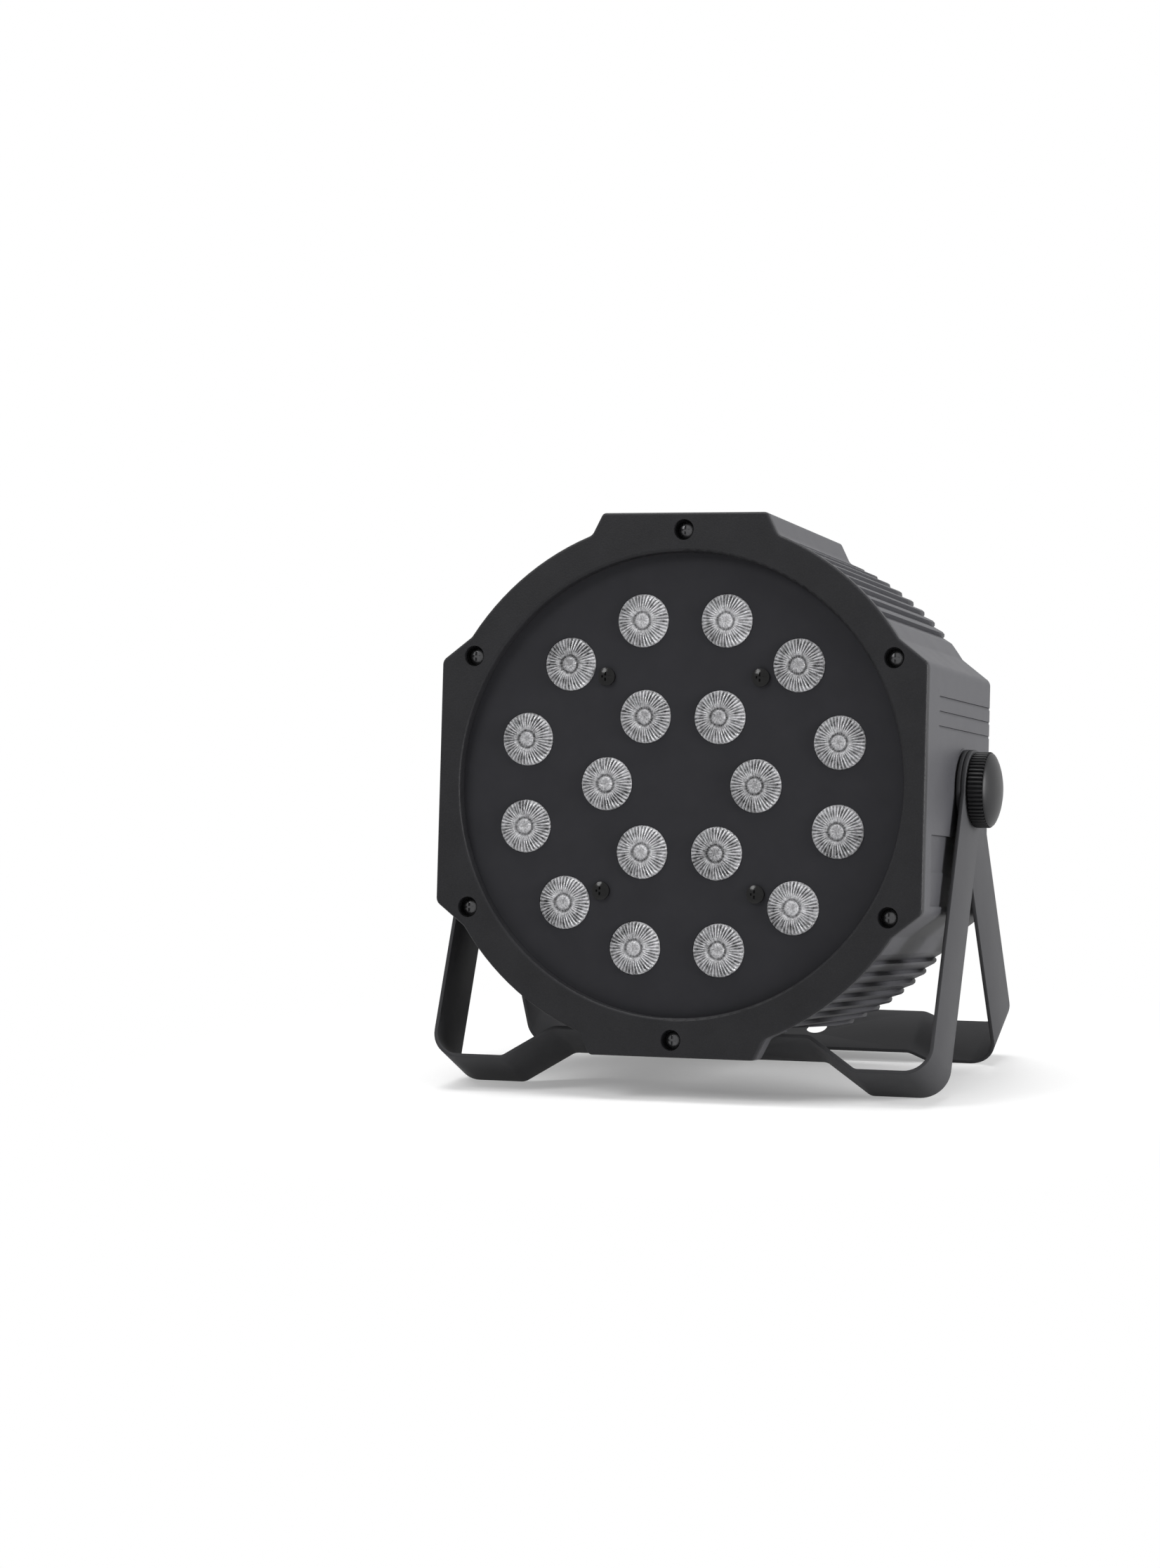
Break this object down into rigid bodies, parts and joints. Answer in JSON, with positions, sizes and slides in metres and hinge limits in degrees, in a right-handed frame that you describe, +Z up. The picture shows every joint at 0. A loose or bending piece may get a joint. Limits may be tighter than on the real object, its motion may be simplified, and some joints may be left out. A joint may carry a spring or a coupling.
{
  "type": "led par light",
  "caption": "Flat LED par light: a lens panel in a black ribbed housing, carried by two folding yoke brackets that clamp at side knobs.",
  "frame": {"origin": "centre of the bounding box's bottom face, on the floor", "axes": "+Z up, the light points to -Y and leans up by 7.8 degrees, +X to the right seen from the front"},
  "size_m": [0.2218, 0.1385, 0.223],
  "materials": {
    "bezel_plastic": "fine textured black",
    "shell_plastic": "satin black moulded plastic",
    "panel_black": "matte black sheet",
    "white_plastic": "white moulded cup",
    "circuit_white": "white aluminium-core board",
    "circuit_green": "green circuit board",
    "emitter": "phosphor bead on a white base",
    "aluminium": "extruded aluminium",
    "screw_black": "blackened steel",
    "steel": "zinc plated steel",
    "bracket_black": "satin black powder coat",
    "knob_black": "knurled black plastic",
    "brass": "turned brass",
    "washer_rubber": "black rubber",
    "transformer_core": "lacquered core",
    "capacitor_can": "sleeved aluminium can",
    "window_clear": "smoked clear window",
    "display_black": "black module",
    "fan_black": "black moulded plastic",
    "socket_black": "black moulded plastic",
    "button_black": "soft black key",
    "lens_clear": "clear moulded lens"
  },
  "bodies": {
    "housing": {"front_bezel": "bezel_plastic", "rear_shell": "shell_plastic", "led_panel": "panel_black", "lens_holders": "white_plastic", "led_board": "circuit_white", "led_emitters": "emitter", "heat_sink": "aluminium", "panel_standoffs": "aluminium", "panel_screws": "screw_black", "bezel_screws": "screw_black", "heat_sink_screws": "steel", "board_screws": "steel", "fan_screws": "screw_black", "socket_screws": "screw_black", "inserts": "brass", "washers": "washer_rubber", "power_board": "circuit_green", "control_board": "circuit_green", "transformer": "transformer_core", "capacitors": "capacitor_can", "display_window": "window_clear", "display_unit": "display_black", "button_switches": "display_black", "fan_frame": "fan_black", "power_inlet": "socket_black", "signal_in_socket": "socket_black", "signal_out_socket": "socket_black", "signal_in_pins": "steel", "signal_out_core": "socket_black", "lens_01": "lens_clear", "lens_02": "lens_clear", "lens_03": "lens_clear", "lens_04": "lens_clear", "lens_05": "lens_clear", "lens_06": "lens_clear", "lens_07": "lens_clear", "lens_08": "lens_clear", "lens_09": "lens_clear", "lens_10": "lens_clear", "lens_11": "lens_clear", "lens_12": "lens_clear", "lens_13": "lens_clear", "lens_14": "lens_clear", "lens_15": "lens_clear", "lens_16": "lens_clear", "lens_17": "lens_clear", "lens_18": "lens_clear"},
    "front_bracket": {"front_bracket": "bracket_black"},
    "rear_bracket": {"rear_bracket": "bracket_black"},
    "left_knob": {"left_knob": "knob_black", "left_stud": "steel"},
    "right_knob": {"right_knob": "knob_black", "right_stud": "steel"},
    "fan_rotor": {"fan_rotor": "fan_black"},
    "fuse_drawer": {"fuse_drawer": "socket_black"},
    "button_menu": {"button_menu": "button_black"},
    "button_down": {"button_down": "button_black"},
    "button_up": {"button_up": "button_black"},
    "button_enter": {"button_enter": "button_black"}
  },
  "joints": [
    {"name": "front_bracket_pivot", "type": "hinge", "parent": "housing", "child": "front_bracket", "pos_m": [0, 0.00597, 0.11353], "axis": [1, 0, 0], "range_deg": [0, 36]},
    {"name": "rear_bracket_pivot", "type": "hinge", "parent": "housing", "child": "rear_bracket", "pos_m": [0, 0.00597, 0.11353], "axis": [1, 0, 0], "range_deg": [-36, 120]},
    {"name": "left_knob_turn", "type": "hinge", "parent": "housing", "child": "left_knob", "pos_m": [-0.101, 0.00597, 0.11353], "axis": [-1, 0, 0], "range_deg": [0, 360]},
    {"name": "right_knob_turn", "type": "hinge", "parent": "housing", "child": "right_knob", "pos_m": [0.101, 0.00597, 0.11353], "axis": [1, 0, 0], "range_deg": [0, 360]},
    {"name": "button_menu_press", "type": "slide", "parent": "housing", "child": "button_menu", "axis": [0, -0.9907, 0.1357], "range_m": [0, 0.001], "stiffness_N_per_m": 300, "springref_m": -0.0005},
    {"name": "button_down_press", "type": "slide", "parent": "housing", "child": "button_down", "axis": [0, -0.9907, 0.1357], "range_m": [0, 0.001], "stiffness_N_per_m": 300, "springref_m": -0.0005},
    {"name": "button_up_press", "type": "slide", "parent": "housing", "child": "button_up", "axis": [0, -0.9907, 0.1357], "range_m": [0, 0.001], "stiffness_N_per_m": 300, "springref_m": -0.0005},
    {"name": "button_enter_press", "type": "slide", "parent": "housing", "child": "button_enter", "axis": [0, -0.9907, 0.1357], "range_m": [0, 0.001], "stiffness_N_per_m": 300, "springref_m": -0.0005},
    {"name": "fan_spin", "type": "hinge", "parent": "housing", "child": "fan_rotor", "pos_m": [0, 0.03397, 0.10787], "axis": [0, 0.9907, -0.1357], "continuous": true},
    {"name": "fuse_drawer_pull", "type": "slide", "parent": "housing", "child": "fuse_drawer", "axis": [0, 0.9907, -0.1357], "range_m": [0, 0.012]}
  ]
}
